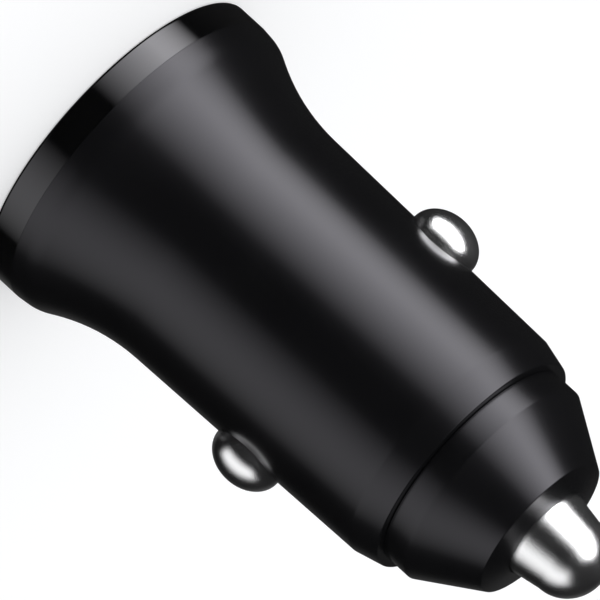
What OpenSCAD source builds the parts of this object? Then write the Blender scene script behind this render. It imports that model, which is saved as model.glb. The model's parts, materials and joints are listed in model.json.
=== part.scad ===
// Twin-port USB charger plug for a car's 12 V socket.
// The origin is the centre of the head's rim, and +Z runs along the plug to its tip.
// The plug stands on its rim. Its two side contacts lie on the X axis.

/* [Head] */
// Diameter of the head, over the front ring
head_d = 25.8; // [25:0.1:30]
// Height of the front ring
ring_h = 2.4; // [2:0.1:4]
// Length of the sleeve that holds the front ring in the housing
ring_sleeve = 1.6; // [1:0.1:2]
// Wall of that sleeve
ring_sleeve_wall = 1.4; // [1:0.1:1.6]
// Width of the port plate beyond the ports' corners
plate_margin = 0.8; // [0.6:0.05:1]
// Rounding of the rim's outer edge
rim_round = 0.3; // [0.1:0.05:0.6]
// Depth of the port plate below the rim
plate_recess = 0.6; // [0.3:0.1:1]

/* [Housing] */
// Length from the rim to the housing's lip
housing_l = 35.65; // [34:0.25:42]
// Height of the straight shoulder above the front ring
shoulder_h = 0.7; // [0.5:0.1:1.5]
// Lean of the shoulder
shoulder_lean = 7; // [3:1:12]
// Slope of the flare, measured from the axis
flare_angle = 25; // [22:1:32]
// Diameter of the barrel at the root of the flare
barrel_root_d = 21.04; // [20.6:0.02:21.4]
// Diameter of the barrel where its end chamfer starts
barrel_end_d = 19.94; // [19.7:0.02:20.4]
// Diameter of the lip at the housing's end
lip_d = 18.84; // [18.4:0.02:19.2]
// Length of the end chamfer
chamfer_l = 2.2; // [1:0.1:3]
// Rounding of the shoulder
shoulder_round = 4; // [2:0.5:5]
// Rounding at the root of the flare
flare_round = 14; // [8:1:18]
// Wall of the housing
housing_wall = 1.2; // [1:0.1:1.4]
// Length of the board rails inside the housing
rail_l = 7; // [4:0.5:8]

/* [Nose] */
// Diameter of the nose's collar
collar_d = 17.52; // [17:0.02:18]
// Length of the collar that shows
collar_l = 2.05; // [1:0.05:3]
// Diameter of the edge of the nose's end
nose_end_d = 11.8; // [11.2:0.1:12.6]
// Rise of the nose's end from its edge to the contact
nose_crown = 0.5; // [0.1:0.1:0.6]
// Length of the nose's cone
cone_l = 4.75; // [4:0.05:6]
// Diameter of the spigot that sits in the housing
spigot_d = 16.1; // [15.6:0.1:16.4]
// Length of the spigot
spigot_l = 4.4; // [3:0.1:5]
// Wall of the nose
nose_wall = 1.2; // [1:0.1:1.5]
// Thickness of the nose's end wall
nose_front = 1.6; // [1.2:0.1:2]

/* [Centre contact] */
// Diameter of the contact where it leaves the nose
tip_d = 7; // [6:0.1:7.2]
// Diameter of the contact where its round end starts
tip_end_d = 6.3; // [5.6:0.1:6.6]
// Reach of the contact beyond the nose
tip_reach = 5.85; // [4.5:0.05:7]
// Length of its round end
tip_round = 3.02; // [2:0.02:3.5]
// Length of the straight stretch outside the nose
tip_straight = 0.8; // [0.2:0.1:1.2]
// Width of the flange that keeps the contact in
tip_flange_w = 1; // [0.7:0.1:1.1]
// Thickness of that flange
tip_flange_t = 1; // [0.7:0.1:1.4]
// Diameter of the spring hole in the contact's back
tip_hole_d = 5; // [4.9:0.1:5.4]
// Depth of the spring hole
tip_hole_l = 4; // [3:0.1:5]
// Distance that the contact can be pushed in
tip_travel = 2.3; // [1:0.1:2.5]

/* [Ground contacts] */
// Distance from the housing's lip to the side contacts' axis
contact_drop = 12.6; // [12.1:0.1:13.4]
// Diameter of each contact
contact_d = 5.6; // [5:0.1:6]
// Reach of each contact from the axis
contact_reach = 12.4; // [12:0.1:12.8]
// Length of its domed end
dome_h = 2.2; // [2:0.05:2.6]
// Thickness of the pressed metal
contact_t = 0.4; // [0.3:0.05:0.5]
// Width of the flange inside the wall
contact_flange_w = 0.4; // [0.3:0.05:0.45]
// Distance that each contact can be pushed in
contact_travel = 1.9; // [1:0.1:2]
// Wall of the contact's carrier
carrier_wall = 0.7; // [0.6:0.05:0.8]
// Floor of the carrier
carrier_floor = 0.8; // [0.6:0.05:0.9]
// Reach of the carrier's grip over the board
grip_l = 1; // [0.8:0.1:1.2]
// Thickness of the ground lugs
lug_t = 0.3; // [0.2:0.05:0.4]

/* [Springs] */
// Wire diameter of the tip spring
tip_wire_d = 0.45; // [0.35:0.05:0.5]
// Turns of the tip spring
tip_turns = 9; // [7:1:10]
// Wire diameter of the side springs
side_wire_d = 0.35; // [0.3:0.05:0.4]
// Outer diameter of the side springs
side_spring_d = 4.2; // [3.6:0.1:4.3]
// Turns of the side springs
side_turns = 6; // [5:1:7]

/* [Ports] */
// Width of a port's metal shell
port_w = 13.1; // [12.9:0.1:13.2]
// Height of the shell
port_h = 5.7; // [5.5:0.1:5.8]
// Sheet thickness of the shell
port_t = 0.3; // [0.25:0.05:0.35]
// Rounding of the shell's corners
port_round = 0.7; // [0.5:0.1:1]
// Depth of the shell's edge below the plate's face
port_recess = 0.2; // [0.1:0.1:0.4]
// Room between the tongue and the shell's sides
tongue_gap = 0.7; // [0.5:0.05:0.9]
// Thickness of the tongue
tongue_t = 1.84; // [1.6:0.02:1.9]
// Depth of the tongue's end below the shell's edge
tongue_recess = 1.4; // [1.2:0.05:1.6]
// Length of the block that holds the tongue
tongue_block = 4.2; // [3.5:0.1:5]
// Width of a contact strip
strip_w = 1; // [0.8:0.1:1.2]
// Thickness of a contact strip
strip_t = 0.25; // [0.2:0.05:0.3]

/* [Board] */
// Thickness of the circuit board
board_t = 1.2; // [1:0.1:1.3]
// Length of the board behind the ports, up to the tip spring's seat
circuit_l = 16.1; // [15.8:0.1:17]
// Width of the board at the ports
board_w = 16.4; // [16:0.1:16.6]
// Width of the board at its tip end
board_end_w = 12.6; // [12.4:0.1:13.6]
// Side of the square inductor
inductor_w = 5.6; // [5:0.1:6]
// Height of the inductor
inductor_h = 3; // [2.4:0.1:4]
// Diameter of the capacitors
capacitor_d = 5; // [4:0.1:5.2]
// Length of the input capacitor
input_capacitor_l = 6.8; // [6:0.2:7]
// Length of the output capacitor
output_capacitor_l = 5.2; // [4.6:0.1:5.4]

/* [Fits] */
// Gap between pieces that are fixed to each other
seat_gap = 0.05; // [0.02:0.01:0.1]
// Radial gap of the contacts that slide
slide_gap = 0.06; // [0.03:0.01:0.1]
// Gap at the contacts' end stops
stop_gap = 0.1; // [0.05:0.01:0.2]
// Room around pieces that must not touch
free_gap = 0.15; // [0.1:0.01:0.2]

/* [Hidden] */
$fn = 64;

BLACK = [0.1, 0.1, 0.11];
INNER_BLACK = [0.16, 0.16, 0.17];
CHROME = [0.8, 0.8, 0.82];
BRASS = [0.8, 0.66, 0.35];
STEEL = [0.66, 0.67, 0.68];
BOARD = [0.08, 0.34, 0.2];

// Cutters run this far past the faces that they open
past = 1;

// The two ports lie on the board's faces; the plate, the ring's bore and its sleeve fit round them
port_y = board_t / 2 + seat_gap + port_h / 2;
port_corner_r = norm([port_w / 2 - port_round, port_y + port_h / 2 - port_round]) + port_round;

head_r = head_d / 2;
plate_r = port_corner_r + plate_margin;
bore_r = plate_r + seat_gap;
sleeve_z = ring_h + ring_sleeve;
sleeve_in_r = port_corner_r + free_gap;
sleeve_out_r = sleeve_in_r + ring_sleeve_wall;

// Corners of the housing's outline, as [radius, height]
shoulder = [head_r - shoulder_h * tan(shoulder_lean), ring_h + shoulder_h];
flare_root = [barrel_root_d / 2,
    shoulder.y + (shoulder.x - barrel_root_d / 2) / tan(flare_angle)];
barrel_end = [barrel_end_d / 2, housing_l - chamfer_l];
lip = [lip_d / 2, housing_l];
// The flare leaves this much of its length for the rounding at each of its ends
flare_l = norm(shoulder - flare_root);
shoulder_room = min(shoulder_h, 0.3 * flare_l);
flare_room = 0.65 * flare_l;
housing_outline = concat([[head_r, ring_h]],
    rounded([head_r, ring_h], shoulder, flare_root, shoulder_round, 6, shoulder_room),
    rounded(shoulder, flare_root, barrel_end, flare_round, 10, flare_room),
    [barrel_end, lip]);

// The cavity follows the outline a wall's thickness inside it, up to the spigot. It is no wider than
// the mouth that takes the ring's sleeve, so the flare is solid.
mouth_r = sleeve_out_r + seat_gap;
cavity_top = housing_l - spigot_l - free_gap;
cavity_outline = concat([[0, ring_h - past], [min(head_r - housing_wall, mouth_r), ring_h - past]],
    [for (p = housing_outline) if (p.y < cavity_top - 1) [min(p.x - housing_wall, mouth_r), p.y]],
    [[barrel_in(cavity_top), cavity_top], [0, cavity_top]]);

// Nose, from the housing's lip to the edge of its end
cone_z = housing_l + collar_l;
nose_z = cone_z + cone_l;
collar_r = collar_d / 2;
nose_end_r = nose_end_d / 2;
spigot_r = spigot_d / 2;
cone_angle = atan((collar_r - nose_end_r) / cone_l);
nose_back = nose_z - nose_front;
nose_web = 1.6;
nose_groove_w = 0.3;
nose_bend = 0.8;

// Centre contact
tip_r = tip_d / 2;
tip_z = nose_z + tip_reach;
tip_end_z = tip_z - tip_round;
flange_r = tip_r + tip_flange_w;
flange_z = nose_back - stop_gap;
tip_back = flange_z - tip_flange_t;
guide_r = flange_r + slide_gap;
guide_wall = 0.8;
guide_out_r = guide_r + guide_wall;
guide_run = 4;
guide_z = tip_back - tip_travel - guide_run;
tip_spring_r = tip_hole_d / 2 - free_gap;

// The board ends where the tip spring's seat begins
seat_disc_t = 0.5;
seat_rim_w = 1;
seat_boss_h = 0.8;
seat_z = cavity_top - free_gap - seat_gap;
board_top = seat_z - seat_gap;
seat_tab_w = 3;
seat_tab_l = 1.2;
seat_tab_t = 0.4;
tip_spring_z = seat_z + seat_disc_t + seat_gap;

// Side contacts, along the X axis
contact_z = housing_l - contact_drop;
contact_r = contact_d / 2;
contact_flange_r = contact_r + contact_flange_w;
wall_in = barrel_in(contact_z + contact_flange_r);
contact_flange_x = sqrt(pow(wall_in, 2) - pow(contact_flange_r, 2)) - stop_gap;
contact_back = contact_flange_x - contact_t;
lug_x = contact_back - contact_travel - stop_gap - lug_t;
carrier_x = lug_x - seat_gap;
carrier_in_r = contact_flange_r + free_gap;
carrier_r = carrier_in_r + carrier_wall;
carrier_rim = sqrt(pow(barrel_in(contact_z + carrier_r), 2) - pow(carrier_r, 2)) - free_gap;
carrier_back = carrier_x - carrier_floor;
dome_x = contact_reach - dome_h;
side_spring_r = min(side_spring_d / 2, contact_r - contact_t - free_gap);
dome_in_h = dome_h - contact_t;
dome_in_r = contact_r - contact_t;
side_spring_x = lug_x + lug_t + seat_gap;
side_spring_end = dome_x + dome_in_h * sqrt(1 - pow((side_spring_r + seat_gap) / dome_in_r, 2))
    - seat_gap;
grip_h = 4.4;
grip_w = 6;
tab_w = 2;
tab_t = 0.3;
lug_tab_l = 1.8;

// Ports: they reach from the plate to the room that the circuit needs
plate_z = plate_recess;
port_z = plate_z + port_recess;
port_end = seat_z - circuit_l;
port_l = port_end - port_z;
tongue_z = port_z + tongue_recess;
block_z = port_end - tongue_block;
inner_w = port_w - 2 * port_t;
inner_h = port_h - 2 * port_t;
tongue_w = inner_w - 2 * tongue_gap;
strip_x = [-3.5, -1, 1, 3.5];
strip_tail = 0.5;
strip_recess = 0.7;
strip_z = tongue_z + strip_recess;

// Board outline: wide at the ports, narrow between the carriers
board_z = sleeve_z + free_gap;
board_r = board_w / 2;
board_corner = 0.4;
neck_r = carrier_back - seat_gap;
neck_z = contact_z - carrier_r - free_gap;
neck_top = contact_z + carrier_r + free_gap;
board_face = board_t / 2 + seat_gap;
rail_grip = 0.8;
rail_t = 1;
rail_past = 1.2;
rail_z = port_end + rail_past - rail_l;

// Places of the pieces on the board
capacitor_top = seat_z - seat_tab_l - free_gap;
input_z = capacitor_top - input_capacitor_l;
output_z = capacitor_top - output_capacitor_l;
part_gap = 0.3;
row_z = port_end + strip_tail + part_gap;
inductor_z = row_z + part_gap + inductor_w / 2;
inductor_cut = 1;
inductor_rim = 0.5;
core_step = 0.4;
core_gap = 0.5;
diode_size = [4.3, 2.1, 2.6];
diode_lead = [0.9, 0.6, 1.6];
diode_z = row_z + diode_size.z / 2;
chip_size = [3.9, 1.5, 4.9];
chip_lead = [1.1, 0.5, 0.4];
chip_pitch = 1.27;
chip_z = diode_z + diode_size.z / 2 + part_gap + chip_size.z / 2;
stand_off = 0.1;
small_size = [0.8, 0.8, 1.6];
small_x = tip_spring_r + seat_rim_w + free_gap + small_size.x / 2;
small_pitch = 0.95;
small_z = neck_top + part_gap + small_size.z / 2;

// Electrolytic capacitors: lead, crimp and rounded edges of the can
lead_d = 0.5;
lead_l = 0.5;
lead_x = 1;
crimp = 0.25;
crimp_z = 1;
crimp_l = 0.9;
can_edge = 0.3;

function unit(v) = v / norm(v);
function barrel_r(z) = flare_root.x
    + (barrel_end.x - flare_root.x) * (z - flare_root.y) / (barrel_end.y - flare_root.y);
function barrel_in(z) = barrel_r(z) - housing_wall;

// Arc that rounds the corner b on the way from a to c, in n steps. Its radius is wanted_r, or less
// where the arc would take more than room off the sides.
function rounded(a, b, c, wanted_r, n, room) =
    let (u = unit(a - b), v = unit(c - b), half = acos(u * v) / 2,
        r = min(wanted_r, room * tan(half)),
        centre = b + unit(u + v) * r / sin(half),
        s = b + u * r / tan(half) - centre, e = b + v * r / tan(half) - centre,
        start = atan2(s.y, s.x), turn = atan2(s.x * e.y - s.y * e.x, s * e))
    [for (i = [0:n]) centre + r * [cos(start + turn * i / n), sin(start + turn * i / n)]];

// Quarter of an ellipse from radius r at height z to the axis, h high, in n steps
function round_end(r, z, h, n) = [for (i = [0:n]) [r * cos(90 * i / n), z + h * sin(90 * i / n)]];

function reversed(list) = [for (i = [len(list) - 1:-1:0]) list[i]];

module revolve(points) rotate_extrude() polygon(points);

// Puts a piece that is drawn along Z on the X axis at the side contacts' height
module along_x(side) translate([0, 0, contact_z]) rotate([0, side * 90, 0]) children();

// Block with four rounded long edges, standing on z = 0
module rounded_block(w, h, l, r) {
    translate([-w / 2 + r, -h / 2, 0]) cube([w - 2 * r, h, l]);
    translate([-w / 2, -h / 2 + r, 0]) cube([w, h - 2 * r, l]);
    for (x = [-1, 1], y = [-1, 1])
        translate([x * (w / 2 - r), y * (h / 2 - r), 0]) cylinder(r = r, h = l);
}

module centred_block(size) translate(-size / 2) cube(size);

// Places a port's piece on the upper (1) or lower (-1) face of the board
module at_port(side) rotate([0, 0, side > 0 ? 0 : 180]) translate([0, port_y, 0]) children();

// Compression spring along Z: the first and last turns lie closed
function coil_height(turn, turns, wire_d, l) =
    let (closed = wire_d * 1.06, open = (l - wire_d - 2 * closed) / (turns - 2))
    wire_d / 2 + closed * min(turn, 1) + open * max(0, min(turn, turns - 1) - 1)
    + closed * max(0, turn - turns + 1);

module coil(r, wire_d, l, turns) {
    steps = 12;
    sides = 6;
    count = turns * steps;
    mean_r = r - wire_d / 2;
    points = [for (i = [0:count], j = [0:sides - 1])
        let (a = 360 * i / steps, b = 360 * j / sides,
            out = mean_r + wire_d / 2 * cos(b),
            up = coil_height(i / steps, turns, wire_d, l) + wire_d / 2 * sin(b))
        [out * cos(a), out * sin(a), up]];
    walls = [for (i = [0:count - 1], j = [0:sides - 1], half = [0, 1])
        let (k = (j + 1) % sides, p = i * sides, q = p + sides)
        half == 0 ? [p + j, q + j, q + k] : [p + j, q + k, p + k]];
    first = [for (j = [1:sides - 2]) [0, j, j + 1]];
    tail = count * sides;
    last = [for (j = [1:sides - 2]) [tail, tail + j + 1, tail + j]];
    polyhedron(points, concat(walls, first, last));
}

// Polished trim ring: its sleeve plugs into the housing and its step carries the port plate
module front_ring() color(BLACK) revolve(concat(
    [[bore_r + plate_recess, 0]],
    rounded([bore_r, 0], [head_r, 0], [head_r, ring_h], rim_round, 4, ring_h / 2),
    [[head_r, ring_h], [sleeve_out_r, ring_h], [sleeve_out_r, sleeve_z],
        [sleeve_in_r, sleeve_z], [sleeve_in_r, ring_h], [bore_r, ring_h], [bore_r, plate_z]]));

// Recessed plate with an opening round each port's shell
module port_plate() color(INNER_BLACK) difference() {
    translate([0, 0, plate_z])
        cylinder(r = plate_r, h = ring_h - plate_z - seat_gap);
    for (side = [-1, 1]) at_port(side) translate([0, 0, plate_z - past])
        rounded_block(port_w + 2 * seat_gap, port_h + 2 * seat_gap, ring_h + past,
            port_round + seat_gap);
}

// Moulded body: shoulder, flare and tapering barrel, hollow, with rails for the board
module housing() color(BLACK) difference() {
    union() {
        difference() {
            revolve(concat([[0, ring_h]], housing_outline, [[0, housing_l]]));
            revolve(cavity_outline);
        }
        board_rails();
    }
    translate([0, 0, ring_h - past])
        cylinder(r = mouth_r, h = ring_sleeve + past + free_gap);
    translate([0, 0, cavity_top - past])
        cylinder(r = spigot_r + seat_gap, h = housing_l - cavity_top + 2 * past);
    for (side = [-1, 1]) along_x(side) cylinder(r = contact_r + slide_gap, h = head_d);
    for (side = [-1, 1]) at_port(side) translate([0, 0, ring_h])
        rounded_block(port_w + 2 * free_gap, port_h + 2 * free_gap, port_l, port_round);
}

// Two ribs on each side that hold the board's edges
module board_rails() {
    rail_in = board_r - rail_grip;
    rail_out = barrel_r(rail_z + rail_l) - housing_wall / 2;
    for (side = [-1, 1], face = [-1, 1])
        translate([side * (rail_in + rail_out) / 2, face * (board_face + rail_t / 2),
            rail_z + rail_l / 2]) centred_block([rail_out - rail_in, rail_t, rail_l]);
}

// Nose: spigot, collar, cone and crowned end, with a guide tube for the centre contact inside
module nose_cap() {
    skin = nose_wall / cos(cone_angle);
    groove_top = nose_back - nose_web;
    groove_r = collar_r - (groove_top - cone_z) * tan(cone_angle) - skin;
    color(BLACK) revolve([
        [spigot_r - nose_wall, housing_l - spigot_l], [spigot_r, housing_l - spigot_l],
        [spigot_r, housing_l], [collar_r, housing_l], [collar_r, cone_z],
        [nose_end_r, nose_z], [tip_r + slide_gap, nose_z + nose_crown],
        [tip_r + slide_gap, nose_back],
        [guide_r, nose_back], [guide_r, guide_z], [guide_out_r, guide_z],
        [guide_out_r, groove_top], [max(groove_r, guide_out_r + nose_groove_w), groove_top],
        [spigot_r - nose_wall, cone_z - nose_bend]]);
}

// Plated centre contact: flange inside, round end outside, with a hole for its spring
module centre_contact() color(CHROME) revolve(concat(
    [[tip_hole_d / 2, tip_back], [flange_r, tip_back], [flange_r, flange_z],
        [tip_r, flange_z], [tip_r, nose_z + tip_straight]],
    round_end(tip_end_d / 2, tip_end_z, tip_round, 16),
    [[0, tip_back + tip_hole_l], [tip_hole_d / 2, tip_back + tip_hole_l]]));

module tip_spring() color(STEEL) translate([0, 0, tip_spring_z])
    coil(tip_spring_r, tip_wire_d, tip_back + tip_hole_l - seat_gap - tip_spring_z, tip_turns);

// Brass seat of the tip spring: a disc with a boss, and two tabs soldered to the board
module tip_spring_seat() color(BRASS) {
    boss_r = tip_spring_r - tip_wire_d - free_gap;
    translate([0, 0, seat_z]) cylinder(r = tip_spring_r + seat_rim_w, h = seat_disc_t);
    translate([0, 0, seat_z]) cylinder(r = boss_r, h = seat_disc_t + seat_boss_h);
    for (face = [-1, 1])
        translate([-seat_tab_w / 2, face * (board_face + seat_tab_t / 2) - seat_tab_t / 2,
            seat_z - seat_tab_l]) cube([seat_tab_w, seat_tab_t, seat_tab_l + seat_disc_t / 2]);
}

// Pressed side contact: a domed cup whose flange stays behind the housing's wall
module ground_contact(side) color(CHROME) along_x(side) revolve(concat(
    [[dome_in_r, contact_back], [contact_flange_r, contact_back],
        [contact_flange_r, contact_back + contact_t], [contact_r, contact_back + contact_t]],
    round_end(contact_r, dome_x, dome_h, 14),
    reversed(round_end(dome_in_r, dome_x, dome_in_h, 10))));

module ground_spring(side) color(STEEL) along_x(side) translate([0, 0, side_spring_x])
    coil(side_spring_r, side_wire_d, side_spring_end - side_spring_x, side_turns);

// Brass lug under each side spring, with a tab that is soldered to the board
module ground_lug(side) color(BRASS) {
    tab_end = neck_r - lug_tab_l;
    along_x(side) translate([0, 0, lug_x]) cylinder(r = carrier_in_r - free_gap, h = lug_t);
    translate([side * (tab_end + lug_x + lug_t / 2) / 2, board_face + tab_t / 2, contact_z])
        centred_block([lug_x + lug_t / 2 - tab_end, tab_t, tab_w]);
}

// Moulded cup that guides each side contact and grips the board's neck
module contact_carrier(side) color(INNER_BLACK) difference() {
    union() {
        along_x(side) translate([0, 0, carrier_back])
            cylinder(r = carrier_r, h = carrier_rim - carrier_back);
        translate([side * (carrier_back - grip_l / 2), 0, contact_z])
            centred_block([grip_l + seat_gap, grip_h, grip_w]);
    }
    along_x(side) translate([0, 0, carrier_x]) cylinder(r = carrier_in_r, h = head_r);
    translate([side * (neck_r - grip_l), 0, contact_z])
        centred_block([2 * grip_l + 2 * seat_gap, board_t + 2 * seat_gap, grip_w + past]);
    translate([side * carrier_back, board_face + tab_t / 2, contact_z])
        centred_block([2 * (grip_l + carrier_floor) + past, tab_t + 2 * seat_gap,
            tab_w + 2 * seat_gap]);
}

// Circuit board: full width beside the ports, a neck between the carriers
module circuit_board() color(BOARD) translate([0, board_t / 2, 0]) rotate([90, 0, 0])
    linear_extrude(height = board_t) polygon([
        [-board_r, board_z], [board_r, board_z], [board_r, neck_z - board_corner],
        [board_r - board_corner, neck_z],
        [neck_r, neck_z], [neck_r, neck_top], [board_end_w / 2, neck_top],
        [board_end_w / 2, board_top], [-board_end_w / 2, board_top],
        [-board_end_w / 2, neck_top], [-neck_r, neck_top], [-neck_r, neck_z],
        [-board_r + board_corner, neck_z], [-board_r, neck_z - board_corner]]);

// Folded metal shell of a port
module usb_shell(side) color(STEEL) at_port(side) translate([0, 0, port_z]) difference() {
    rounded_block(port_w, port_h, port_l, port_round);
    translate([0, 0, -past])
        rounded_block(inner_w, inner_h, port_l + 2 * past, port_round - port_t);
}

// Moulded tongue and the block behind it, with a channel for each contact strip
module usb_tongue(side) color(INNER_BLACK) at_port(side) difference() {
    union() {
        translate([-tongue_w / 2, 0, tongue_z])
            cube([tongue_w, tongue_t, block_z - tongue_z + seat_gap]);
        translate([0, 0, block_z]) rounded_block(inner_w - 2 * seat_gap, inner_h - 2 * seat_gap,
            tongue_block, port_round - port_t);
    }
    for (x = strip_x)
        translate([x - strip_w / 2 - seat_gap, -strip_t - 3 * seat_gap, block_z - past])
            cube([strip_w + 2 * seat_gap, strip_t + 3 * seat_gap, tongue_block + 2 * past]);
}

// Four plated strips that lie on the tongue, pass its block and bend down to the board
module usb_contacts(side) {
    drop = port_y - board_face - seat_gap;
    end = port_end + strip_tail;
    color(BRASS) at_port(side) for (x = strip_x) translate([x - strip_w / 2, -seat_gap, 0]) {
        translate([0, -strip_t, strip_z]) cube([strip_w, strip_t, end - strip_z]);
        translate([0, -drop, end - strip_t]) cube([strip_w, drop, strip_t]);
    }
}

// Shielded inductor: a square ferrite with cut corners and a round core
module inductor() color(INNER_BLACK) translate([0, board_face, inductor_z]) rotate([-90, 0, 0]) {
    h = inductor_w / 2;
    k = h - inductor_cut;
    difference() {
        linear_extrude(height = inductor_h) polygon([[-k, -h], [k, -h], [h, -k], [h, k], [k, h],
            [-k, h], [-h, k], [-h, -k]]);
        translate([0, 0, inductor_h - core_step]) cylinder(r = h - inductor_rim, h = past);
    }
    translate([0, 0, inductor_h - core_step - seat_gap])
        cylinder(r = h - inductor_rim - core_gap, h = core_step);
}

// Electrolytic capacitor that lies along the board: crimped can, rubber base and two leads
module electrolytic(l, z, face) {
    r = capacitor_d / 2;
    translate([0, face * (board_face + r), z]) {
        revolve([[0, 0], [r - 2 * can_edge, 0], [r, can_edge], [r, crimp_z],
            [r - crimp, crimp_z + crimp_l / 3], [r - crimp, crimp_z + 2 * crimp_l / 3],
            [r, crimp_z + crimp_l], [r, l - can_edge], [r - can_edge, l], [0, l]]);
        for (x = [-lead_x, lead_x]) {
            translate([x, 0, -lead_l]) cylinder(d = lead_d, h = lead_l + can_edge);
            translate([x, -face * r / 2, -lead_l]) rotate([90, 0, 0])
                cylinder(d = lead_d, h = r, center = true);
        }
    }
}

module capacitor_input() color(STEEL) electrolytic(input_capacitor_l, input_z, 1);

module capacitor_output() color(STEEL) electrolytic(output_capacitor_l, output_z, -1);

// Eight-legged controller chip on the lower face of the board
module controller_chip() color(INNER_BLACK) translate([0, -board_face, chip_z]) {
    translate([0, -chip_size.y / 2 - stand_off, 0]) centred_block(chip_size);
    for (side = [-1, 1], i = [-1.5:1:1.5])
        translate([side * (chip_size.x + chip_lead.x - stand_off) / 2, -chip_lead.y / 2,
            i * chip_pitch]) centred_block(chip_lead);
}

// Rectifier diode between the ports and the chip
module rectifier_diode() color(INNER_BLACK) translate([0, -board_face, diode_z]) {
    translate([0, -diode_size.y / 2 - stand_off, 0]) centred_block(diode_size);
    for (side = [-1, 1]) translate([side * diode_size.x / 2, -diode_lead.y / 2, 0])
        centred_block(diode_lead);
}

// Rows of small resistors and capacitors beside the two large capacitors
module chip_components() color(BRASS) for (face = [-1, 1], side = [-1, 1], i = [0:2])
    translate([side * (small_x + small_pitch * i), face * (board_face + small_size.y / 2),
        small_z]) centred_block(small_size);

front_ring();
port_plate();
housing();
nose_cap();
centre_contact();
tip_spring();
tip_spring_seat();
ground_contact(-1);  // ground_contact_left
ground_contact(1);  // ground_contact_right
ground_spring(-1);  // ground_spring_left
ground_spring(1);  // ground_spring_right
ground_lug(-1);  // ground_lug_left
ground_lug(1);  // ground_lug_right
contact_carrier(-1);  // contact_carrier_left
contact_carrier(1);  // contact_carrier_right
circuit_board();
usb_shell(1);  // usb_shell_upper
usb_shell(-1);  // usb_shell_lower
usb_tongue(1);  // usb_tongue_upper
usb_tongue(-1);  // usb_tongue_lower
usb_contacts(1);  // usb_contacts_upper
usb_contacts(-1);  // usb_contacts_lower
inductor();
capacitor_input();
capacitor_output();
controller_chip();
rectifier_diode();
chip_components();
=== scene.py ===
# %% [markdown]
# # A twin-port USB charger that plugs into a car's 12 V socket
#
# The real thing is a short black plastic plug. A glossy trim ring closes its head, and two USB-A
# ports open in the ring. Behind it the satin housing flares down to a slightly tapering barrel. Two
# chrome domes come out of the barrel's sides and a chrome contact comes out of the black nose, and
# coil springs press all three outwards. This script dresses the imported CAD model: it rebuilds the
# surfaces that show most as smooth numpy surfaces, and it gives each piece a procedural finish.

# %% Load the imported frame
import json

import bpy
import numpy as np
from mathutils import Matrix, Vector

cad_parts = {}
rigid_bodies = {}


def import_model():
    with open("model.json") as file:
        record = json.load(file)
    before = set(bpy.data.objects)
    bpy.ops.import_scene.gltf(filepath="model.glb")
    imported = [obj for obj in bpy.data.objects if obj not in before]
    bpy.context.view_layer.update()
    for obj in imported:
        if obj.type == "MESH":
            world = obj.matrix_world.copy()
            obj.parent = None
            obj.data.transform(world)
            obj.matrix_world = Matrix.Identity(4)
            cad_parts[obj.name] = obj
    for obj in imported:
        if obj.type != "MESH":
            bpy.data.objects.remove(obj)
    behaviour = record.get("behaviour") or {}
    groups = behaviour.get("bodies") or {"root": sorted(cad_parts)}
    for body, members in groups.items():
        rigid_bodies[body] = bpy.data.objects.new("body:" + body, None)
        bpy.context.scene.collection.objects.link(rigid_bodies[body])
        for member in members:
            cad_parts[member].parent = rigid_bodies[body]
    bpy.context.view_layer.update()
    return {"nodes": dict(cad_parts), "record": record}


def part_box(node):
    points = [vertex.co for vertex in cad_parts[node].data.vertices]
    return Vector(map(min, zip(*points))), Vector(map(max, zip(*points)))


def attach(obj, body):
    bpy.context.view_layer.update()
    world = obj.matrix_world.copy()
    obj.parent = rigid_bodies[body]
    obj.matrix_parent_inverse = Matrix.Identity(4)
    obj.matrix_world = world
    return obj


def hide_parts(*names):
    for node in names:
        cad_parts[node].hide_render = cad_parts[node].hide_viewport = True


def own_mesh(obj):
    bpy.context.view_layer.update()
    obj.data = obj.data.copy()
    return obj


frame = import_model()
scene = bpy.context.scene
scene.view_settings.view_transform = "Standard"
MM = 0.001

# %% [markdown]
# ## The camera
#
# The photograph is nearly a parallel view: a very long lens, about a metre away. The camera stands
# in front of the plug, a little above it, and is rolled, so that the upright plug runs from the
# picture's upper left to its lower right. That puts the side at -X on the picture's upper right
# and the side at +X on its lower left. The three axes of the camera are written down directly from
# the two angles, which is easier to check than a chain of rotations.

# %% Camera from its tilt, its roll and one known point
TILT = np.radians(17.31)
ROLL = np.radians(42.49)
LENS = 909
LIP_Z = 35.65
# Where the middle of the housing's lip lies, in millimetres from the camera: to the right, down
# and ahead
LIP_FROM_CAMERA = np.array([12.084, 11.665, 1065.7])

plug_x = np.array([-np.sin(ROLL), np.cos(ROLL), 0])
plug_z = np.array([np.cos(TILT) * np.cos(ROLL), np.cos(TILT) * np.sin(ROLL), -np.sin(TILT)])
plug_y = np.cross(plug_z, plug_x)
right, down, ahead = np.stack([plug_x, plug_y, plug_z], 1)
place = np.array([0, 0, LIP_Z]) - LIP_FROM_CAMERA @ np.stack([right, down, ahead])

camera = bpy.data.objects.new("camera", bpy.data.cameras.new("camera"))
scene.collection.objects.link(camera)
scene.camera = camera
camera.data.lens = LENS
camera.data.clip_start, camera.data.clip_end = 0.05, 20
pose = np.eye(4)
pose[:3, 0], pose[:3, 1], pose[:3, 2], pose[:3, 3] = right, -down, -ahead, place * MM
camera.matrix_world = Matrix(pose)
print("camera at", (place * MM).round(3), "metres")

# %% [markdown]
# ## Node helpers
#
# Every material and the world are small node trees. Blender's own calls for them are long, so two
# short functions make a node and join two sockets. Values that are the same all over go straight
# into a node's socket.

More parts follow.
